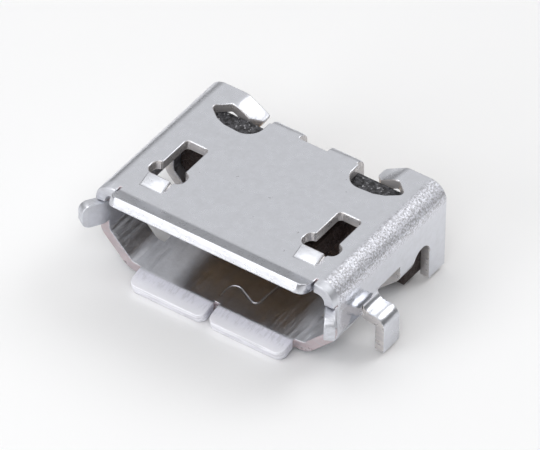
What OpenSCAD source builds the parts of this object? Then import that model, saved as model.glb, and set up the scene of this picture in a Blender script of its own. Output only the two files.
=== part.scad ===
// Micro USB socket for a circuit board, in millimetres.
// A stamped sheet shell is folded round a moulded housing that carries five contacts.
// Board side down, mouth towards -Y. The origin is on the board, under the middle of the shell.

/* [Shell] */
// Outside width of the folded shell
shell_w = 7.5; // [7.2:0.1:8.2]
// Outside height of the folded shell
shell_h = 2.7; // [2.6:0.05:3.0]
// Depth from the mouth's edge to the rear edge of the ears
shell_d = 5.0; // [4.6:0.05:5.6]
// Thickness of the sheet
sheet_t = 0.3; // [0.2:0.02:0.32]
// Inside radius of the folds along the shell
fold_r = 0.2; // [0.1:0.02:0.3]
// Height on the outside where a side wall meets the slanted lower corner
slant_h = 0.92; // [0.8:0.05:1.0]
// How far the floor and the sides' lower edges end before the rear edge
floor_short = 1.45; // [1.4:0.05:1.6]

/* [Mouth] */
// How far the upper corners stand out past the roots of the flares
corner_out = 0.22; // [0:0.02:0.3]
// Inside radius of the bends that open the mouth
flare_r = 0.3; // [0.1:0.05:0.4]
// Width of the top lip
top_lip_w = 6.15; // [5.6:0.05:6.3]
// Distance of the top lip's bend in front of the flares' roots
top_lip_out = 0.08; // [0:0.01:0.15]
// Straight length of the top lip after its bend
top_lip_run = 0.46; // [0.3:0.02:0.6]
// Rise of the top lip
top_lip_angle = 22; // [10:1:40]
// Width of each of the two bottom lips
bottom_lip_w = 2.36; // [1.8:0.02:2.4]
// Gap between the two bottom lips
bottom_lip_gap = 0.14; // [0.1:0.02:0.4]
// Straight length of the bottom lips after their bend
bottom_lip_run = 0.5; // [0.3:0.02:0.6]
// Fall of the bottom lips
bottom_lip_angle = 15; // [5:1:30]
// Height of each side flare
side_flare_h = 0.74; // [0.6:0.02:0.9]
// Height of the side flares' lower edge over the board
side_flare_z = 1.35; // [1.31:0.01:1.4]
// Straight length of the side flares after their bend
side_flare_run = 0.48; // [0.3:0.02:0.6]
// Outward turn of the side flares
side_flare_angle = 33; // [15:1:45]
// Gap between the upper corners and the lip and flare beside them
corner_gap = 0.04; // [0.02:0.01:0.08]
// Rounding of the lips' and flares' free corners
lip_corner_r = 0.24; // [0.1:0.01:0.28]

/* [Latch windows] */
// Distance of each latch window from the middle line
window_x = 2.42; // [2.2:0.02:2.6]
// Width of the window's rear part
window_w = 0.7; // [0.5:0.02:0.9]
// Rear end of the window, from the mouth
window_rear = 2.52; // [2.2:0.02:2.8]
// Width of the window's wide front part
window_wide_w = 1.1; // [1.0:0.02:1.2]
// Front end of the wide part, from the mouth
window_wide_front = 0.92; // [0.85:0.01:1.0]
// Depth of the wide part
window_wide_d = 0.52; // [0.4:0.02:0.6]
// Corner rounding of the window
window_r = 0.12; // [0.04:0.01:0.16]
// Root of the raised tab in front of the window, from the mouth
tab_root = 0.33; // [0.25:0.01:0.45]
// Straight length of the raised tab
tab_run = 0.4; // [0.3:0.01:0.42]
// Rise of the tab
tab_angle = 21; // [8:1:28]

/* [Rear of the shell] */
// How far the top plate's middle ends before the rear edge of the ears
plate_short = 0.7; // [0.6:0.02:0.8]
// Centre of each rear notch from the middle line
notch_x = 1.89; // [1.85:0.01:1.95]
// Distance of each rear notch's centre before the rear edge of the ears
notch_short = 0.95; // [0.9:0.01:1.05]
// Radius of each rear notch
notch_r = 0.47; // [0.36:0.01:0.48]
// How far the notch's narrow end reaches past the ear's inner bend
slit_past = 0.2; // [0.15:0.01:0.25]
// Radius of the notch's narrow end
slit_r = 0.13; // [0.08:0.01:0.14]
// Distance of the ears' inner bend from the middle line
ear_bend_x = 2.65; // [2.55:0.01:2.75]
// Straight length of the ears' tongues
ear_run = 0.69; // [0.5:0.01:0.8]
// Fall of the ears' tongues
ear_angle = 30; // [15:1:40]
// Corner cut off the ears' tongues at their inner front
ear_bevel = 0.28; // [0.1:0.02:0.3]
// Corner cut off the ears' tongues at their inner rear
ear_tip_bevel = 0.06; // [0.02:0.01:0.1]
// Inner edge of each tab behind the housing, from the middle line
rear_tab_in = 0.44; // [0.3:0.02:0.6]
// Outer edge of each tab behind the housing, from the middle line
rear_tab_out = 1.36; // [1.2:0.01:1.36]
// Height of the free edge of the tabs behind the housing
rear_tab_z = 1.9; // [1.75:0.05:2.0]

/* [Legs] */
// Front edge of the front legs, from the mouth
leg_front = 1.15; // [1.1:0.02:1.3]
// Width of the front legs
leg_w = 0.72; // [0.6:0.02:1.0]
// Rear end of the opening that the front legs are cut from
leg_open_rear = 2.4; // [2.3:0.05:2.6]
// Distance from the middle line that the opening reaches in to
leg_open_in = 2.3; // [2.2:0.02:2.5]
// Height of the wall's edge over the front legs
leg_root_z = 1.37; // [1.33:0.01:1.45]
// Radius of the front legs' upper bend
leg_upper_r = 0.25; // [0.2:0.01:0.4]
// Radius inside the tight bends, of the front legs' knees and the tabs behind the housing
tight_r = 0.05; // [0.03:0.01:0.05]
// Flat stretch between the two bends
leg_shelf = 0.1; // [0:0.01:0.2]
// Radius of the arch before the rear legs
arch_r = 0.36; // [0.28:0.01:0.38]
// Height of the arch
arch_h = 1.29; // [1.2:0.01:1.34]

/* [Floor seam] */
// Width of the seam where the folded sheet meets itself
seam_w = 0.03; // [0.02:0.005:0.06]
// Place of the seam beside the middle line
seam_x = -0.1; // [-0.2:0.02:0]
// Front of the dovetail, from the mouth
dovetail_front = 0.55; // [0.45:0.02:0.65]
// Depth of the dovetail at its wide end
dovetail_d = 0.8; // [0.6:0.02:1.0]
// Reach of the dovetail across the floor
dovetail_reach = 0.92; // [0.6:0.02:1.1]
// Narrowing of the dovetail at each side of its neck
dovetail_neck = 0.14; // [0.05:0.01:0.2]

/* [Housing] */
// Clearance between the housing and the shell
housing_gap = 0.02; // [0.015:0.005:0.04]
// Depth of the housing's block
block_d = 1.18; // [1.1:0.02:1.4]
// How far the block ends before the rear edge of the ears
block_short = 0.62; // [0.6:0.01:0.66]
// Height of the block's underside behind the floor
block_foot_z = 0.08; // [0.04:0.01:0.2]
// Width of the tongue
tongue_w = 3.7; // [3.5:0.05:3.8]
// Thickness of the tongue
tongue_t = 0.6; // [0.5:0.02:0.65]
// Height of the tongue's underside
tongue_z = 1.3; // [1.25:0.01:1.35]
// Front end of the tongue, from the mouth
tongue_front = 0.68; // [0.6:0.02:0.8]
// Bevel round the tongue's front end
tongue_bevel = 0.14; // [0.06:0.01:0.2]

/* [Contacts] */
// Spacing of the contacts
contact_pitch = 0.65; // [0.62:0.01:0.66]
// Width of a contact
contact_w = 0.34; // [0.28:0.01:0.4]
// Thickness of a contact
contact_t = 0.15; // [0.12:0.01:0.18]
// Distance of the contacts' front ends behind the tongue's front
contact_set_back = 0.26; // [0.2:0.01:0.4]
// How far the contacts stand below the tongue
contact_proud = 0.03; // [0.01:0.01:0.05]
// Clearance round a contact in the housing
contact_gap = 0.015; // [0.01:0.005:0.02]
// Distance of the tails' vertical stretch behind the block
tail_back = 0.12; // [0.08:0.01:0.2]
// Radius inside the tails' bends
tail_r = 0.1; // [0.06:0.01:0.14]
// Length of the tails' flat feet
tail_foot = 0.45; // [0.3:0.05:0.6]

/* [Hidden] */
$fn = 48;
contact_n = 5;
// Spare length of a cutting shape past the sheet it cuts
over = 0.5;
// Length by which a bent strip runs back into the sheet it grows from
sink = 0.25;
half_w = shell_w / 2;
outer_r = fold_r + sheet_t;
roof_z = shell_h - sheet_t;
// The origin lies under the middle of the shell's depth
mid_y = shell_d / 2;
// Height at which the straight side wall passes into the slanted corner's fold
wall_foot_z = slant_h + outer_r * (sqrt(2) - 1);
// Depths from the mouth, of the floor, the top plate and the notches
floor_d = shell_d - floor_short;
plate_d = shell_d - plate_short;
notch_y = shell_d - notch_short;
// Rear and front face of the housing's block; the shell's ears and rear tabs stand just behind it
block_rear = shell_d - block_short;
block_front = block_rear - block_d;
behind_block = block_rear + housing_gap;
// Where the tabs behind the housing begin to bend
rear_bend_y = behind_block - tight_r;
tail_z = tongue_z - contact_proud;
tail_drop = tail_z - 2 * tail_r - contact_t;
steel = [0.76, 0.76, 0.79];
black = [0.12, 0.12, 0.13];
gold = [0.86, 0.68, 0.34];

// Corners of the shell's right half, for an outline drawn a given distance inside the outer one
function corners(inset) = [
    [half_w - inset, shell_h - inset],
    [half_w - inset, slant_h + inset * (sqrt(2) - 1)],
    [half_w - slant_h - inset * (sqrt(2) - 1), inset]
];

// Outline of the shell seen from the front, a given distance inside the outer one, with round corners
module outline(inset, r) {
    c = corners(inset + r);
    s = r / sqrt(2);
    right = [
        c[0] + [0, r], c[0] + [r, 0], c[1] + [r, 0],
        c[1] + [s, -s], c[2] + [s, -s], c[2] + [0, -r]
    ];
    left = [for (i = [5:-1:0]) [-right[i].x, right[i].y]];
    polygon(concat(right, left));
    for (p = c, side = [-1, 1]) translate([side * p.x, p.y]) circle(r);
}

// A wedge of a ring, from one angle to another, for a bend of up to 90 degrees
module ring_wedge(r, t, from, to) {
    far = 2 * (r + t);
    intersection() {
        difference() {
            circle(r + t);
            circle(r);
        }
        polygon([[0, 0], far * [cos(from), sin(from)], far * [cos(to), sin(to)]]);
    }
}

// A strip of sheet seen edge on. It starts at the origin along +X with its thickness towards +Y,
// and each step is a straight run, a turn (left is positive) and the radius inside the turn.
module strip(t, steps, i = 0) {
    if (i < len(steps)) {
        run = steps[i][0];
        turn = steps[i][1];
        r = steps[i][2];
        if (run > 0) square([run, t]);
        if (turn > 0) {
            translate([run, r + t]) {
                ring_wedge(r, t, -90, turn - 90);
                rotate(turn) translate([0, -r - t]) strip(t, steps, i + 1);
            }
        }
        if (turn < 0) {
            translate([run, -r]) {
                ring_wedge(r, t, 90 + turn, 90);
                rotate(turn) translate([0, r]) strip(t, steps, i + 1);
            }
        }
    }
}

// Flat shapes stood up: the first draws in X and Z and runs along +Y, the second in Y and Z along +X
module along_y(from, to) translate([0, to, 0]) rotate([90, 0, 0]) linear_extrude(to - from) children();
module along_x(from, to) translate([from, 0, 0]) rotate([90, 0, 90]) linear_extrude(to - from) children();
module both_sides() for (side = [0, 1]) mirror([side, 0, 0]) children();

// A rectangle with four round corners, from its front left corner
module round_cornered(w, d, r) {
    translate([r, 0]) square([w - 2 * r, d]);
    translate([0, r]) square([w, d - 2 * r]);
    for (x = [r, w - r], y = [r, d - r]) translate([x, y]) circle(r);
}

module tube() {
    difference() {
        along_y(0, shell_d) outline(0, outer_r);
        along_y(-over, shell_d + over) outline(sheet_t, fold_r);
    }
}

// What rounds the two far corners of a strip, at +Y, when it is cut off
module corner_cuts(w) {
    both_sides() translate([w / 2 - lip_corner_r, -lip_corner_r]) difference() {
        square(lip_corner_r + over);
        circle(lip_corner_r);
    }
}

// A lip that bends up from a flat sheet, then runs straight to its two round free corners. The sheet
// lies on the XY plane, its edge at the origin; the lip's width is along X and it reaches to +Y.
module lip(w, lead, run, angle) {
    bend_r = flare_r + sheet_t;
    difference() {
        along_x(-w / 2, w / 2) translate([-sink, 0])
            strip(sheet_t, [[sink + lead, angle, flare_r], [run, 0, 0]]);
        translate([0, lead, bend_r]) rotate([angle, 0, 0]) translate([0, run, -bend_r - over])
            linear_extrude(sheet_t + 2 * over) corner_cuts(w);
    }
}

module top_lip() {
    translate([0, 0, roof_z]) mirror([0, 1, 0]) lip(top_lip_w, top_lip_out, top_lip_run, top_lip_angle);
}

// The folded upper corner, between the top lip and a side flare, stands out a little further
module corner_stub() {
    stub_x = top_lip_w / 2 + corner_gap;
    stub_z = side_flare_z + side_flare_h + corner_gap;
    intersection() {
        along_y(-corner_out, sink) difference() {
            outline(0, outer_r);
            outline(sheet_t, fold_r);
        }
        translate([stub_x, -over, stub_z]) cube([half_w, shell_d, shell_h]);
    }
}

module bottom_lip() {
    translate([bottom_lip_gap / 2 + bottom_lip_w / 2, 0, sheet_t]) rotate([180, 0, 0])
        lip(bottom_lip_w, 0, bottom_lip_run, bottom_lip_angle);
}

module side_flare() {
    translate([half_w - sheet_t, 0, side_flare_z + side_flare_h / 2]) rotate([180, -90, 0])
        lip(side_flare_h, 0, side_flare_run, side_flare_angle);
}

// The latch window: a slot with a wide front part, open to the raised tab in front of it
module window_cut() {
    translate([window_x, 0, roof_z - over]) linear_extrude(sheet_t + 2 * over) {
        translate([-window_w / 2, tab_root]) square([window_w, window_wide_front - tab_root + window_r]);
        translate([-window_w / 2, window_wide_front])
            round_cornered(window_w, window_rear - window_wide_front, window_r);
        translate([-window_wide_w / 2, window_wide_front])
            round_cornered(window_wide_w, window_wide_d, 1.8 * window_r);
    }
}

module raised_tab() {
    along_x(window_x - window_w / 2, window_x + window_w / 2) translate([tab_root - sink / 2, roof_z])
        strip(sheet_t, [[sink / 2, tab_angle, fold_r], [tab_run, 0, 0]]);
}

// The notch beside the rear edge, narrowing outwards to the ear's fold
module notch_cut() {
    narrow = [ear_bend_x + slit_past, notch_y];
    front = notch_y - notch_r;
    diagonal = slit_r / sqrt(2);
    translate([0, 0, roof_z - over]) linear_extrude(sheet_t + 2 * over) {
        translate([notch_x, notch_y]) circle(notch_r);
        translate(narrow) circle(slit_r);
        polygon([
            [notch_x, front], [notch_x + notch_r, front + slit_r / 4], [ear_bend_x, notch_y - 2.5 * slit_r],
            narrow + [diagonal, -diagonal], narrow + [diagonal, diagonal], [ear_bend_x, behind_block],
            [notch_x - notch_r, behind_block], [notch_x - notch_r, notch_y]
        ]);
    }
}

// What the top plate lacks behind its rear edge, between the ears
module plate_rear_cut() {
    translate([0, 0, roof_z - over]) linear_extrude(sheet_t + 2 * over) polygon([
        [0, plate_d], [rear_tab_in, plate_d], [rear_tab_in, rear_bend_y], [ear_bend_x, rear_bend_y],
        [ear_bend_x, shell_d + over], [0, shell_d + over]
    ]);
}

// The ear's tongue, bent down behind the housing
module ear_tongue() {
    root = ear_bend_x + sink;
    tip = ear_bend_x - ear_run * cos(ear_angle) - outer_r * sin(ear_angle);
    intersection() {
        along_y(behind_block, shell_d) translate([root, roof_z]) mirror([1, 0])
            strip(sheet_t, [[sink, -ear_angle, fold_r], [ear_run, 0, 0]]);
        linear_extrude(2 * shell_h) polygon([
            [root, behind_block], [tip + ear_bevel, behind_block], [tip, behind_block + ear_bevel],
            [tip, shell_d - ear_tip_bevel], [tip + ear_tip_bevel, shell_d], [root, shell_d]
        ]);
    }
}

// One of two tabs folded down behind the housing
module rear_tab() {
    along_x(rear_tab_in, rear_tab_out) translate([rear_bend_y - sink, roof_z])
        strip(sheet_t, [[sink, -90, tight_r], [roof_z - tight_r - rear_tab_z, 0, 0]]);
}

// The side wall is cut away over the front leg, and arched before the rear leg
module wall_cuts() {
    along_x(leg_open_in, half_w + over) translate([leg_front, -over])
        square([leg_open_rear - leg_front, leg_root_z + over]);
    along_x(-over, half_w + over) {
        arch();
        translate([floor_d + arch_r, -over]) square([shell_d, over + wall_foot_z]);
    }
}

// The arch, seen from the side
module arch() {
    translate([floor_d, -over]) square([2 * arch_r, arch_h - arch_r + over]);
    translate([floor_d + arch_r, arch_h - arch_r]) circle(arch_r);
}

module front_leg() {
    shelf_z = leg_root_z - leg_upper_r;
    along_y(leg_front, leg_front + leg_w) translate([half_w - sheet_t, leg_root_z + sink]) rotate(-90)
        strip(sheet_t, [
            [sink, 90, leg_upper_r], [leg_shelf, -90, tight_r],
            [shelf_z - sheet_t - tight_r, 0, 0]
        ]);
}

// Behind the arch the wall runs straight down to the board
module rear_leg() {
    along_x(half_w - sheet_t, half_w) difference() {
        translate([floor_d + arch_r, 0]) square([shell_d - floor_d - arch_r, wall_foot_z + sink]);
        arch();
    }
}

// A straight stretch of the seam's gap in the floor
module seam_stretch(from, to) {
    d = to - from;
    translate([from.x, from.y, -over]) rotate(atan2(d.y, d.x)) translate([-seam_w / 2, -seam_w / 2, 0])
        cube([norm(d) + seam_w, seam_w, sheet_t + 2 * over]);
}

module seam_cut() {
    far_x = seam_x + dovetail_reach;
    front = dovetail_front;
    rear = dovetail_front + dovetail_d;
    route = [
        [seam_x, -over], [seam_x, front + dovetail_neck], [far_x, front], [far_x, rear],
        [seam_x, rear - dovetail_neck], [seam_x, floor_d + over]
    ];
    for (i = [0:len(route) - 2]) seam_stretch(route[i], route[i + 1]);
}

module shell() {
    color(steel) {
        difference() {
            tube();
            both_sides() {
                window_cut();
                notch_cut();
                plate_rear_cut();
            }
            both_sides() wall_cuts();
            seam_cut();
        }
        top_lip();
        both_sides() {
            corner_stub();
            bottom_lip();
            side_flare();
            raised_tab();
            ear_tongue();
            rear_tab();
            front_leg();
            rear_leg();
        }
    }
}

// A contact seen from the side: along the tongue, out of the block, down and back to its foot
module contact_strip(y0) {
    translate([y0, tail_z]) strip(contact_t, [
        [block_rear + tail_back - y0, -90, tail_r], [tail_drop, 90, tail_r], [tail_foot, 0, 0]
    ]);
}

module contact(i) {
    x = (i - (contact_n + 1) / 2) * contact_pitch;
    color(gold) along_x(x - contact_w / 2, x + contact_w / 2)
        contact_strip(tongue_front + contact_set_back);
}

module contact_slots() {
    w = contact_w + 2 * contact_gap;
    y0 = tongue_front + contact_set_back - contact_gap;
    slot_d = block_rear + over - y0;
    for (i = [1:contact_n]) {
        x = (i - (contact_n + 1) / 2) * contact_pitch;
        translate([x - w / 2, y0, tail_z - contact_gap])
            cube([w, slot_d, contact_t + 2 * contact_gap]);
    }
}

module housing() {
    g = housing_gap;
    color(black) difference() {
        union() {
            intersection() {
                along_y(block_front, block_rear) outline(sheet_t + g, fold_r);
                translate([-half_w, 0, 0]) cube([shell_w, shell_d, shell_h]);
            }
            translate([-half_w + sheet_t + g, floor_d + g, block_foot_z])
                cube([shell_w - 2 * sheet_t - 2 * g, block_rear - floor_d - g, wall_foot_z]);
            along_x(-tongue_w / 2, tongue_w / 2) translate([tongue_front, tongue_z]) polygon([
                [0, tongue_bevel], [tongue_bevel, 0], [block_rear - tongue_front, 0],
                [block_rear - tongue_front, tongue_t], [tongue_bevel, tongue_t], [0, tongue_t - tongue_bevel]
            ]);
        }
        contact_slots();
    }
}

module at_origin() translate([0, -mid_y, 0]) children();

at_origin() shell();
at_origin() housing();
at_origin() contact(1);  // contact_1
at_origin() contact(2);  // contact_2
at_origin() contact(3);  // contact_3
at_origin() contact(4);  // contact_4
at_origin() contact(5);  // contact_5
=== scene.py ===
import math

import bmesh
import bpy
from mathutils import Matrix, Vector
from mathutils.bvhtree import BVHTree


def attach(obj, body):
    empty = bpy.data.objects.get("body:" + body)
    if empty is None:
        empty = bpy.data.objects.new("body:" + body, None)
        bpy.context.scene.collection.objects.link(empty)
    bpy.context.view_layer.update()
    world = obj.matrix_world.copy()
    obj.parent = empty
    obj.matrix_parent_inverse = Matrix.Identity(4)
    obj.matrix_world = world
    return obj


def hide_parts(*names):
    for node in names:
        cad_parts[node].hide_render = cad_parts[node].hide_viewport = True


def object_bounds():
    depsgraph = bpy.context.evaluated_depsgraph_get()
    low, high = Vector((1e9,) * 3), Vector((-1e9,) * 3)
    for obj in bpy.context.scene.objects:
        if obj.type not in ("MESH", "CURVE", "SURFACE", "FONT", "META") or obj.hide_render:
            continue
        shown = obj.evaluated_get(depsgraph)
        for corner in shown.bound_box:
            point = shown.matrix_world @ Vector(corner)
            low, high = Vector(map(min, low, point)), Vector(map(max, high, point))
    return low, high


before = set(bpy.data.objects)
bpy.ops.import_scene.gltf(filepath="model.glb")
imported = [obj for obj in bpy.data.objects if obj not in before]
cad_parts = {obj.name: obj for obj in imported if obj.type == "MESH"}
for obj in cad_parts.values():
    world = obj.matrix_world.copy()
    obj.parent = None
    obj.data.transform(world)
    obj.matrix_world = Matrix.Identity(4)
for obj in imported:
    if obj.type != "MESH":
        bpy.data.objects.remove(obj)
cad_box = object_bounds()


# Contacts. Five flat strips stamped from copper alloy and gold plated, pressed into slots under
# the tongue; behind the block they bend down to the board and end in flat feet.
MM = 0.001
JOIN_DISTANCE = 0.0002 * MM
FLAT_ANGLE = math.radians(0.6)
CORNER_ANGLE = math.radians(28)
SHARP_ANGLE = math.radians(20)
ROUNDING_STEPS = 3
BACK_OF_SHEET = (0.7, 1.25)  # nearest and furthest place of a sheet's other side, in thicknesses
CONTACTS = ["contact_1", "contact_2", "contact_3", "contact_4", "contact_5"]
CONTACT_EDGE = 0.014 * MM
GOLD = (1.0, 0.65, 0.28, 1)
GOLD_WORN = (0.9, 0.55, 0.24, 1)
GOLD_METALLIC = 0.7
GOLD_ROUGH = (0.32, 0.5)
GOLD_DEPTH = 0.006 * MM
GRAIN_MIDDLE = 0.5
MOST_GRAIN = (0.3, 0.7)  # nearly all of a grain's heights lie between these


def rounded_copy(node, edge, skin=0.0, trim=None):
    """A CAD piece's solid with its triangles joined and its corners rounded by the radius edge, once
    trim has changed its mesh. Where skin is a sheet's thickness, the face attribute "sheared" is 1 on
    faces that mostly have no other side of the sheet right behind them."""
    bm = bmesh.new()
    bm.from_mesh(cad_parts[node].data)
    bmesh.ops.remove_doubles(bm, verts=bm.verts, dist=JOIN_DISTANCE)
    bmesh.ops.dissolve_degenerate(bm, dist=JOIN_DISTANCE, edges=bm.edges)
    bmesh.ops.dissolve_limit(bm, angle_limit=FLAT_ANGLE, verts=bm.verts, edges=bm.edges)
    if trim:
        trim(bm)
    solid = BVHTree.FromBMesh(bm)
    sheared = bm.faces.layers.float.new("sheared")
    if skin:
        backed = {face: 0.0 for face in bm.faces}
        for corner, b, c in bm.calc_loop_triangles():
            a, b, c = corner.vert.co, b.vert.co, c.vert.co
            normal = corner.face.normal
            just_inside = (a + b + c) / 3 - normal * skin / 50
            hit = solid.ray_cast(just_inside, -normal, skin * BACK_OF_SHEET[1])
            if hit[0] is not None and hit[3] > skin * BACK_OF_SHEET[0]:
                backed[corner.face] += (b - a).cross(c - a).length / 2
        for face in bm.faces:
            face[sheared] = 1.0 if backed[face] < face.calc_area() / 2 else 0.0
    corners = {e for e in bm.edges if len(e.link_faces) == 2 and e.calc_face_angle() > CORNER_ANGLE}
    # Two edges that part at a very sharp angle, as at a crack's end, have no room for a rounding
    crowded = set()
    for face in bm.faces:
        for loop in face.loops:
            pair = {loop.edge, loop.link_loop_prev.edge}
            if loop.calc_angle() < SHARP_ANGLE and pair <= corners:
                crowded |= pair
    corners -= crowded
    bmesh.ops.bevel(
        bm, geom=[e for e in bm.edges if e in corners], offset=edge, offset_type="OFFSET",
        segments=ROUNDING_STEPS, profile=0.5, affect="EDGES", clamp_overlap=False, material=-1,
    )
    # Where small faces crowd a corner, its rounding may leave the solid: such points are drawn back
    for vert in bm.verts:
        nearest, _, _, away = solid.find_nearest(vert.co)
        if away > edge / 2:
            vert.co = nearest
    for face in bm.faces:
        face.smooth = True
    mesh = bpy.data.meshes.new(node + "_finished")
    bm.to_mesh(mesh)
    bm.free()
    piece = bpy.data.objects.new(node + "_finished", mesh)
    bpy.context.collection.objects.link(piece)
    even = piece.modifiers.new("even shading", "WEIGHTED_NORMAL")
    even.keep_sharp = True
    return piece


def add(tree, kind, inputs=None, **settings):
    """One shader node. A value in inputs is a link where it is a socket, else a number or colour."""
    made = tree.nodes.new(kind)
    for name, value in settings.items():
        setattr(made, name, value)
    for name, value in (inputs or {}).items():
        if isinstance(value, bpy.types.NodeSocket):
            tree.links.new(value, made.inputs[name])
        else:
            made.inputs[name].default_value = value
    return made


def material(name):
    """A new material: its node tree, Principled shader, and position on the piece in millimetres."""
    made = bpy.data.materials.new(name)
    made.use_nodes = True
    tree = made.node_tree
    place = add(tree, "ShaderNodeTexCoord").outputs["Object"]
    in_mm = add(tree, "ShaderNodeVectorMath", {0: place, "Scale": 1 / MM}, operation="SCALE")
    return made, tree, tree.nodes["Principled BSDF"], in_mm.outputs["Vector"]


def mixed(tree, factor, a, b):
    """Colour a where the factor is 0, and b where it is 1."""
    made = tree.nodes.new("ShaderNodeMix")
    made.data_type = "RGBA"
    for socket, value in zip([made.inputs[0], made.inputs[6], made.inputs[7]], [factor, a, b]):
        if isinstance(value, bpy.types.NodeSocket):
            tree.links.new(value, socket)
        else:
            socket.default_value = value
    return made.outputs[2]


def ramped(tree, value, over, to=(0.0, 1.0)):
    """A value moved smoothly from the range over to the range to."""
    return add(tree, "ShaderNodeMapRange", {
        "Value": value, "From Min": over[0], "From Max": over[1], "To Min": to[0], "To Max": to[1],
    }, interpolation_type="SMOOTHSTEP").outputs["Result"]


def bumped(tree, shader, height, distance):
    """A height, in parts of a distance, made to show in the shader's shading."""
    bump = add(tree, "ShaderNodeBump", {"Height": height, "Strength": 1.0, "Distance": distance})
    tree.links.new(bump.outputs["Normal"], shader.inputs["Normal"])


# Fine grain: a small uneven height for the Bump node, and the same as a mask of blotches
grain = bpy.data.node_groups.new("Fine grain", "ShaderNodeTree")
for label, kind in [("Position", "Vector"), ("Per mm", "Float"), ("Contrast", "Float")]:
    grain.interface.new_socket(label, in_out="INPUT", socket_type="NodeSocket" + kind)
for label in ["Height", "Blotches"]:
    grain.interface.new_socket(label, in_out="OUTPUT", socket_type="NodeSocketFloat")
grain_in, grain_out = grain.nodes.new("NodeGroupInput"), grain.nodes.new("NodeGroupOutput")
grain_height = add(grain, "ShaderNodeTexNoise", {
    "Vector": grain_in.outputs["Position"], "Scale": grain_in.outputs["Per mm"],
    "Detail": 4.0, "Roughness": 0.6,
}).outputs["Fac"]
grain_ends = [
    add(
        grain, "ShaderNodeMath", {0: GRAIN_MIDDLE, 1: grain_in.outputs["Contrast"]}, operation=operation
    ).outputs[0]
    for operation in ("SUBTRACT", "ADD")
]
grain.links.new(grain_height, grain_out.inputs["Height"])
grain.links.new(ramped(grain, grain_height, grain_ends), grain_out.inputs["Blotches"])


def with_grain(tree, position, per_mm, contrast):
    """The two outputs of Fine grain, with so many grains to the millimetre."""
    made = add(tree, "ShaderNodeGroup", node_tree=grain)
    tree.links.new(position, made.inputs["Position"])
    made.inputs["Per mm"].default_value = per_mm
    made.inputs["Contrast"].default_value = contrast
    return made.outputs["Height"], made.outputs["Blotches"]


gold, gold_tree, gold_shader, gold_place = material("Gold plate")
gold_height, gold_blotches = with_grain(gold_tree, gold_place, per_mm=7.0, contrast=0.22)
gold_colour = mixed(gold_tree, gold_blotches, GOLD, GOLD_WORN)
gold_roughness = ramped(gold_tree, gold_height, MOST_GRAIN, GOLD_ROUGH)
gold_tree.links.new(gold_colour, gold_shader.inputs["Base Color"])
gold_tree.links.new(gold_roughness, gold_shader.inputs["Roughness"])
bumped(gold_tree, gold_shader, gold_height, GOLD_DEPTH)
gold_shader.inputs["Metallic"].default_value = GOLD_METALLIC

for node in CONTACTS:
    contact = rounded_copy(node, CONTACT_EDGE)
    contact.data.materials.append(gold)
    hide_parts(node)
    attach(contact, "root")


# Housing. One black moulding of glass-filled plastic, the block with its tongue; its skin is rough
# and mottled, and glass fibres show in it as pale specks.
HOUSING_EDGE = 0.03 * MM
BLACK = (0.03, 0.015, 0.011, 1)
BLACK_TOP = (0.01, 0.01, 0.012, 1)
BLACK_DUSTY = (0.085, 0.085, 0.095, 1)
FIBRE = (0.55, 0.55, 0.58, 1)
FIBRE_HEIGHTS = (0.6, 0.68)
FIBRE_RISE = 0.4
BLOCK_TOP_Z = (2.1, 2.35)
PLASTIC_ROUGH = (0.38, 0.62)
PLASTIC_DEPTH = 0.12 * MM


def combined(tree, operation, value, *others):
    """Values brought together, one after another, by an operation of the Math node."""
    for other in others:
        value = add(tree, "ShaderNodeMath", {0: value, 1: other}, operation=operation).outputs[0]
    return value


plastic, plastic_tree, plastic_shader, plastic_place = material("Black glass-filled plastic")
mottle_height, mottle_blotches = with_grain(plastic_tree, plastic_place, per_mm=8.0, contrast=0.12)
fibre_height, _ = with_grain(plastic_tree, plastic_place, per_mm=11.0, contrast=0.5)
# Dust and fibres show on the top, where the notches in the shell leave it bare
plastic_z = add(plastic_tree, "ShaderNodeSeparateXYZ", {"Vector": plastic_place}).outputs["Z"]
top_colour = mixed(plastic_tree, mottle_blotches, BLACK_TOP, BLACK_DUSTY)
top_colour = mixed(plastic_tree, ramped(plastic_tree, fibre_height, FIBRE_HEIGHTS), top_colour, FIBRE)
plastic_colour = mixed(plastic_tree, ramped(plastic_tree, plastic_z, BLOCK_TOP_Z), BLACK, top_colour)
plastic_roughness = ramped(plastic_tree, mottle_height, MOST_GRAIN, PLASTIC_ROUGH)
plastic_height = combined(
    plastic_tree, "ADD", mottle_height, combined(plastic_tree, "MULTIPLY", fibre_height, FIBRE_RISE)
)
plastic_tree.links.new(plastic_colour, plastic_shader.inputs["Base Color"])
plastic_tree.links.new(plastic_roughness, plastic_shader.inputs["Roughness"])
bumped(plastic_tree, plastic_shader, plastic_height, PLASTIC_DEPTH)

housing = rounded_copy("housing", HOUSING_EDGE)
housing.data.materials.append(plastic)
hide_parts("housing")
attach(housing, "root")


# Shell. One steel sheet, stamped, nickel plated and folded round the housing; its seam is locked by
# a dovetail in the floor, and the sheet's sheared edges show thinner plating over bare steel.
SHEET = 0.3 * MM
SHELL_EDGE = 0.035 * MM
# The opening over each front leg, in millimetres: where the solid has its ends, and where they are
TOUCHING, NEARBY = 0.001, 0.01
OPENING_TOP_Z = 1.38
OPENING_REAR_Y, OPENING_REAR_Y_TRUE = -0.1, 0.4
OPENING_INNER_X, OPENING_INNER_X_TRUE = 2.3, 2.5
# The seam's line from the mouth to the rear, in millimetres: as the solid has it, and as it is
SEAM = [(-0.1, -2.5), (-0.1, -1.81), (0.82, -1.95), (0.82, -1.15), (-0.1, -1.29), (-0.1, 2.5)]
SEAM_TRUE = [(-0.1, -2.5), (-0.1, -1.6), (0.93, -2.1), (0.96, -0.45), (-0.1, -0.9), (-0.1, 2.5)]
SEAM_WIDTH = 0.03 * MM
SEAM_TURN_R = 0.2 * MM
SEAM_TURN_STEPS = 5
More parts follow.
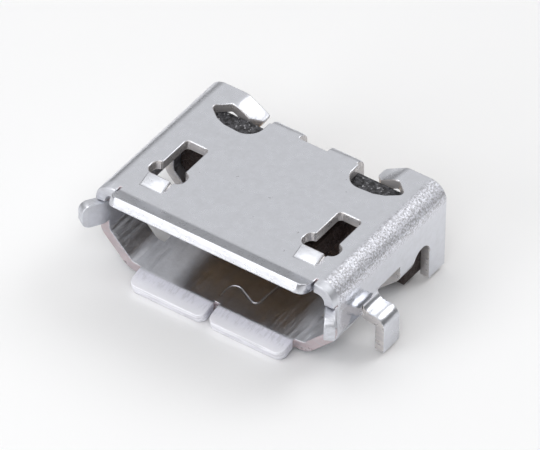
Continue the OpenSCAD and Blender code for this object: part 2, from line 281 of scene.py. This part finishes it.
# The solid's points for one turn of the seam lie this near to it, and this low
SEAM_REACH = 1.5 * SEAM_WIDTH
SEAM_TOP = 1.05 * SHEET
NICKEL = (0.72, 0.735, 0.785, 1)
NICKEL_DULL = (0.65, 0.66, 0.7, 1)
SPECK = (0.4, 0.4, 0.42, 1)
# The fold's pale colour is a painted sheen. The dark colour after it is painted shade in the fold's
# orange-peel pits, and the real colour of streaks and tears.
FOLD_SHEEN = (0.88, 0.89, 0.96, 1)
DARK_STREAK_AND_PEEL_SHADE = (0.5, 0.5, 0.53, 1)
# The lower lips' colours are painted: paler than the sheet as a sheen at their root, and paler still at
# their outer edge as a painted highlight
LIP_SHEEN = (0.84, 0.84, 0.93, 1)
LIP_EDGE_HIGHLIGHT = (0.95, 0.95, 1.0, 1)
SHEARED = (0.66, 0.63, 0.62, 1)
SHEARED_RIM = (0.54, 0.455, 0.475, 1)
# Where each finish starts and is full, in millimetres on the shell
MOUTH_Y = -2.5
PLATE_Z = (2.65, 2.68)
FOLD_X, FOLD_Y, FOLD_Z = (3.15, 3.35), (MOUTH_Y, MOUTH_Y + 0.1), (1.9, 2.35)
WALL_SKIN_X = (3.73, 3.76)
CORNER_X, CORNER_Y = (3.1, 3.3), (MOUTH_Y, MOUTH_Y + 0.15)
LIPS_Y, LOWER_LIPS_Z = (MOUTH_Y - 0.12, MOUTH_Y - 0.05), (0.6, 0.9)
LIP_HIGHLIGHT_Y = (MOUTH_Y - 0.6, MOUTH_Y - 0.15)
RIM_Y = (MOUTH_Y + 0.03, MOUTH_Y + 0.06)
INSIDE_X, INSIDE_Z = (3.45, 3.5), (0.25, 2.45)
SCOURED_LEFT_X, SCOURED_RIGHT_X, SCOURED_FLOOR_Z = (-1.7, -1.0), (1.8, 2.6), (0.32, 0.5)
# Heights of a grain between which its finish comes in
SPECK_HEIGHTS = (0.70, 0.75)
LIP_STREAK_HEIGHTS = (0.45, 0.65)
SCOURED_HEIGHTS = (0.35, 0.62)
# How strong each finish is
LIP_STREAKS = (0.0, 0.32)
LIP_STREAKS_END = (0.2, 0.8)  # the parts of the lips' painted highlight between which the streaks fade
TEARS = 0.45
NICKEL_ROUGH = (0.26, 0.34)
SCRATCHED_ROUGHER = (0.02, 0.16)
LIPS_ROUGHER, WALL_ROUGHER, FOLD_ROUGHER, CORNERS_ROUGHER = 0.26, -0.2, 0.07, 0.2
PEEL_RISE, SCRATCH_RISE = 5.0, 0.5
NICKEL_DEPTH = 0.006 * MM
LIPS_SCATTER, SHEARED_SCATTER = 0.65, 0.4
SCOURED_LEFT, SCOURED_RIGHT, SCOURED_UP_WALL = 0.8, 0.6, 0.06
STREAKS_LEFT, STREAKS_RIGHT = (0.8, 1.1), (0.35, 1.35)
FALLING = (1.0, 0.0)
DRAWN_ALONG_Y, DRAWN_ALONG_X = (1.0, 0.06, 1.0), (0.1, 1.0, 1.0)


def move_opening_edges(bm):
    """The opening over each front leg ends further back, and further out, than the solid's."""
    for vert in bm.verts:
        x, y, z = vert.co / MM
        if abs(x) < OPENING_INNER_X - NEARBY or z > OPENING_TOP_Z:
            continue
        if abs(y - OPENING_REAR_Y) < TOUCHING:
            vert.co.y = OPENING_REAR_Y_TRUE * MM
        if abs(abs(x) - OPENING_INNER_X) < TOUCHING:
            vert.co.x = math.copysign(OPENING_INNER_X_TRUE * MM, x)


def seam_sides(route, turn):
    """At one turn of the seam's cut: its inner and its outer corner, each with the distance along the
    wall from that corner to where the turn's rounding starts."""
    before, here, after = (Vector(route[turn + step]) * MM for step in (-1, 0, 1))
    way_in, way_out = (here - before).normalized(), (after - here).normalized()
    side_in, side_out = Vector((-way_in.y, way_in.x)), Vector((-way_out.y, way_out.x))
    to_left = (side_in + side_out) / (1 + side_in.dot(side_out)) * SEAM_WIDTH / 2
    to_inner = to_left if way_in.cross(way_out) > 0 else -to_left
    per_radius = math.tan(way_in.angle(way_out) / 2)
    return [
        (here + to_inner, (SEAM_TURN_R - SEAM_WIDTH / 2) * per_radius),
        (here - to_inner, (SEAM_TURN_R + SEAM_WIDTH / 2) * per_radius),
    ]


def reroute_seam(bm):
    """The seam's turns are cleared of crowded points, moved to their true places and rounded."""
    def in_floor(vert):
        return vert.co.z < SEAM_TOP

    for turn in range(1, len(SEAM) - 1):
        (old_inner, _), _ = seam_sides(SEAM, turn)
        new_sides = seam_sides(SEAM_TRUE, turn)
        middle = Vector(SEAM[turn]) * MM
        near = [v for v in bm.verts if in_floor(v) and (v.co.xy - middle).length < SEAM_REACH]
        below, above = [v for v in near if v.co.z < SHEET / 2], [v for v in near if v.co.z > SHEET / 2]
        for level in (below, above):
            inner = min(level, key=lambda v: (v.co.xy - old_inner).length)
            for vert in level:
                vert.co.xy = new_sides[0 if vert is inner else 1][0]
        bmesh.ops.remove_doubles(bm, verts=near, dist=JOIN_DISTANCE)
        for corner, back_off in new_sides:
            upright = [
                e for e in bm.edges
                if all(in_floor(v) and (v.co.xy - corner).length < JOIN_DISTANCE for v in e.verts)
            ]
            bmesh.ops.bevel(
                bm, geom=upright, offset=back_off, offset_type="OFFSET", segments=SEAM_TURN_STEPS,
                profile=0.5, affect="EDGES", clamp_overlap=False, material=-1,
            )


def trim_shell(bm):
    """The two places where the real sheet differs from the solid."""
    move_opening_edges(bm)
    reroute_seam(bm)


nickel, nickel_tree, nickel_shader, nickel_place = material("Satin nickel")
axes = add(nickel_tree, "ShaderNodeSeparateXYZ", {"Vector": nickel_place})
across = add(nickel_tree, "ShaderNodeMath", {0: axes.outputs["X"]}, operation="ABSOLUTE").outputs[0]
sheared = add(nickel_tree, "ShaderNodeAttribute", attribute_name="sheared").outputs["Fac"]


def stretched(factors):
    """The position on the shell with each axis multiplied, so that a grain is drawn out along it."""
    return add(
        nickel_tree, "ShaderNodeVectorMath", {0: nickel_place, 1: factors}, operation="MULTIPLY"
    ).outputs["Vector"]


def product(*values):
    """Masks and other values of the shell's material, multiplied."""
    return combined(nickel_tree, "MULTIPLY", *values)


def along(axis, over, to=(0.0, 1.0)):
    """A ramp over the shell's X, Y or Z."""
    return ramped(nickel_tree, axes.outputs[axis], over, to)


def within(value, over, soft):
    """A mask that is 1 between two values, and fades out over a soft width outside them."""
    low, high = over
    return product(
        ramped(nickel_tree, value, (low - soft, low)),
        ramped(nickel_tree, value, (high, high + soft), FALLING),
    )


def tinted(colour, mask, tint):
    """The shell's colour so far, with a tint laid over it where the mask is 1."""
    return mixed(nickel_tree, mask, colour, tint)


satin_height, satin_blotches = with_grain(nickel_tree, nickel_place, per_mm=5.0, contrast=0.3)
speck_height, _ = with_grain(nickel_tree, nickel_place, per_mm=4.2, contrast=0.5)
peel_height, peel_shade_blotches = with_grain(nickel_tree, nickel_place, per_mm=18.0, contrast=0.12)
scratch_height, _ = with_grain(nickel_tree, stretched(DRAWN_ALONG_Y), per_mm=14.0, contrast=0.2)
_, tear_blotches = with_grain(nickel_tree, stretched(DRAWN_ALONG_X), per_mm=12.0, contrast=0.12)

# Stretching the sheet round the right-hand upper fold roughens it like orange peel
on_fold = product(along("X", FOLD_X), along("Z", FOLD_Z), along("Y", FOLD_Y))
on_plate = along("Z", PLATE_Z)
on_wall = within(across, WALL_SKIN_X, soft=0.02)
on_corners = product(ramped(nickel_tree, across, CORNER_X), along("Y", CORNER_Y, FALLING))
on_lips = along("Y", LIPS_Y, FALLING)
on_lower_lips = product(on_lips, along("Z", LOWER_LIPS_Z, FALLING))
inside = product(
    within(axes.outputs["Z"], INSIDE_Z, soft=0.04), ramped(nickel_tree, across, INSIDE_X, FALLING)
)
bare = product(sheared, ramped(nickel_tree, on_lips, (0.0, 1.0), FALLING))

# The lower lips are painted paler as a sheen, and paler still along their outer edges as a painted
# highlight; plugs leave streaks nearer the mouth
lip_highlight = along("Y", LIP_HIGHLIGHT_Y, FALLING)
lip_streaks = product(
    ramped(nickel_tree, scratch_height, LIP_STREAK_HEIGHTS, LIP_STREAKS),
    ramped(nickel_tree, lip_highlight, LIP_STREAKS_END, FALLING),
)
lip_sheen_and_streaks = tinted(mixed(nickel_tree, lip_highlight, LIP_SHEEN, LIP_EDGE_HIGHLIGHT), lip_streaks, DARK_STREAK_AND_PEEL_SHADE)
# At the mouth's rim more of the bare steel shows, and tearing leaves streaks on every sheared face
sheared_colour = mixed(nickel_tree, along("Y", RIM_Y, FALLING), SHEARED, SHEARED_RIM)

nickel_colour = mixed(nickel_tree, satin_blotches, NICKEL, NICKEL_DULL)
speck_mask = product(ramped(nickel_tree, speck_height, SPECK_HEIGHTS), on_plate)
nickel_colour = tinted(nickel_colour, speck_mask, SPECK)
# Painted sheen on the right-hand fold, broken by painted shade in the pits of its orange peel
nickel_colour = tinted(nickel_colour, on_fold, FOLD_SHEEN)
nickel_colour = tinted(nickel_colour, product(on_fold, peel_shade_blotches), DARK_STREAK_AND_PEEL_SHADE)
# Painted sheen and highlight on the lower lips, with their real streaks
nickel_colour = tinted(nickel_colour, on_lower_lips, lip_sheen_and_streaks)
nickel_colour = tinted(nickel_colour, bare, sheared_colour)
nickel_colour = tinted(nickel_colour, product(sheared, tear_blotches, TEARS), DARK_STREAK_AND_PEEL_SHADE)
nickel_tree.links.new(nickel_colour, nickel_shader.inputs["Base Color"])

# Where the sheet was stretched, at the fold and at the mouth's bent corners, its shine is broken
nickel_roughness = combined(
    nickel_tree, "ADD",
    ramped(nickel_tree, satin_height, MOST_GRAIN, NICKEL_ROUGH),
    product(inside, ramped(nickel_tree, scratch_height, MOST_GRAIN, SCRATCHED_ROUGHER)),
    product(on_lower_lips, LIPS_ROUGHER),
    product(on_wall, WALL_ROUGHER),
    combined(
        nickel_tree, "MAXIMUM", product(on_fold, FOLD_ROUGHER), product(on_corners, CORNERS_ROUGHER)
    ),
)
nickel_tree.links.new(nickel_roughness, nickel_shader.inputs["Roughness"])
nickel_height = combined(
    nickel_tree, "ADD", satin_height,
    product(on_fold, peel_height, PEEL_RISE), product(inside, scratch_height, SCRATCH_RISE),
)
bumped(nickel_tree, nickel_shader, nickel_height, NICKEL_DEPTH)

# The lower lips, the scoured sides of the inside and torn edges scatter more of the light
scoured_left = product(
    along("X", SCOURED_LEFT_X, (SCOURED_LEFT, 0.0)),
    along("Z", SCOURED_FLOOR_Z, (1.0, SCOURED_UP_WALL)),
    ramped(nickel_tree, scratch_height, SCOURED_HEIGHTS, STREAKS_LEFT),
)
scoured_right = product(
    along("X", SCOURED_RIGHT_X, (0.0, SCOURED_RIGHT)),
    ramped(nickel_tree, scratch_height, SCOURED_HEIGHTS, STREAKS_RIGHT),
)
scatter = combined(
    nickel_tree, "MAXIMUM",
    product(on_lower_lips, LIPS_SCATTER),
    product(inside, combined(nickel_tree, "MAXIMUM", scoured_left, scoured_right)),
    product(bare, SHEARED_SCATTER),
)
nickel_metallic = combined(nickel_tree, "SUBTRACT", 1.0, scatter)
nickel_tree.links.new(nickel_metallic, nickel_shader.inputs["Metallic"])

shell = rounded_copy("shell", SHELL_EDGE, SHEET, trim_shell)
shell.data.materials.append(nickel)
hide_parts("shell")
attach(shell, "root")


# Studio. A pale floor that the lowest points of the piece rest on, soft lamps overhead, in front
# and at the right, and a camera at the photograph's angle.
FLOOR_SIZE = 1.2
FLOOR_BELOW = 0.002 * MM
FLOOR_PALE = (0.9, 0.9, 0.905, 1)
FLOOR_ROUGH = 0.9
BRIGHTEST_WAY = (-0.2, 0.45, 0.87)
ROOM_WHITE = (1.0, 1.0, 1.0, 1)
ROOM_SPREAD, ROOM_LEVEL = (0.45, 0.9), (0.18, 0.78)
CAMERA_AZIMUTH = math.radians(33.968)
CAMERA_ELEVATION = math.radians(41.214)
CAMERA_ROLL = math.radians(1.198)
CAMERA_DISTANCE = 0.3
PIXELS_PER_MM = 38.386
FRAME_WIDTH_PX = 540
SENSOR_WIDTH = 36
AIM = Vector((0, 0, 1.2)) * MM
AIM_OFF_PX = (3.02, -0.53)

floor_mesh = bmesh.new()
bmesh.ops.create_grid(floor_mesh, x_segments=1, y_segments=1, size=FLOOR_SIZE / 2)
bmesh.ops.translate(floor_mesh, verts=floor_mesh.verts, vec=(0, 0, cad_box[0][2] - FLOOR_BELOW))
floor_data = bpy.data.meshes.new("floor")
floor_mesh.to_mesh(floor_data)
floor_mesh.free()
floor = bpy.data.objects.new("floor", floor_data)
bpy.context.collection.objects.link(floor)
pale, _, pale_shader, _ = material("Pale floor")
pale_shader.inputs["Base Color"].default_value = FLOOR_PALE
pale_shader.inputs["Roughness"].default_value = FLOOR_ROUGH
floor.data.materials.append(pale)

world = bpy.data.worlds.new("Soft room")
bpy.context.scene.world = world
world.use_nodes = True
room = world.node_tree
way = add(room, "ShaderNodeTexCoord").outputs["Generated"]
towards_window = add(room, "ShaderNodeVectorMath", {0: way, 1: BRIGHTEST_WAY}, operation="DOT_PRODUCT")
level = ramped(room, towards_window.outputs["Value"], ROOM_SPREAD, ROOM_LEVEL)
room.nodes["Background"].inputs["Color"].default_value = ROOM_WHITE
room.links.new(level, room.nodes["Background"].inputs["Strength"])


def lamp(name, azimuth, elevation, distance, size, radiance):
    """A square soft lamp that faces the piece, seen from it at that azimuth and elevation in degrees."""
    data = bpy.data.lights.new(name, "AREA")
    data.size = size
    data.energy = radiance * math.pi * size * size
    turn, rise = math.radians(azimuth), math.radians(elevation)
    towards = Vector((math.sin(turn) * math.cos(rise), -math.cos(turn) * math.cos(rise), math.sin(rise)))
    facing = towards.to_track_quat("Z", "Y").to_matrix().to_4x4()
    made = bpy.data.objects.new(name, data)
    made.matrix_world = Matrix.Translation(towards * distance) @ facing
    bpy.context.collection.objects.link(made)


lamp("overhead lamp", azimuth=-60, elevation=64, distance=0.12, size=0.085, radiance=1.5)
lamp("front lamp", azimuth=-20, elevation=19, distance=0.16, size=0.1, radiance=2.8)
lamp("right front lamp", azimuth=28, elevation=46, distance=0.16, size=0.08, radiance=3.2)
lamp("rear right lamp", azimuth=152, elevation=45, distance=0.2, size=0.1, radiance=2.9)

back = Vector((
    math.sin(CAMERA_AZIMUTH) * math.cos(CAMERA_ELEVATION),
    -math.cos(CAMERA_AZIMUTH) * math.cos(CAMERA_ELEVATION),
    math.sin(CAMERA_ELEVATION),
))
level_right = Vector((math.cos(CAMERA_AZIMUTH), math.sin(CAMERA_AZIMUTH), 0))
level_up = back.cross(level_right)
right = math.cos(CAMERA_ROLL) * level_right + math.sin(CAMERA_ROLL) * level_up
up = math.cos(CAMERA_ROLL) * level_up - math.sin(CAMERA_ROLL) * level_right
aim = AIM + (up * AIM_OFF_PX[1] - right * AIM_OFF_PX[0]) / PIXELS_PER_MM * MM
lens = bpy.data.cameras.new("camera")
lens.sensor_width = SENSOR_WIDTH
lens.lens = PIXELS_PER_MM / MM * CAMERA_DISTANCE * SENSOR_WIDTH / FRAME_WIDTH_PX
lens.clip_start = 0.01
camera = bpy.data.objects.new("camera", lens)
camera.matrix_world = Matrix((right, up, back)).transposed().to_4x4()
camera.matrix_world.translation = aim + back * CAMERA_DISTANCE
bpy.context.collection.objects.link(camera)
bpy.context.scene.camera = camera
bpy.context.scene.view_settings.view_transform = "Standard"
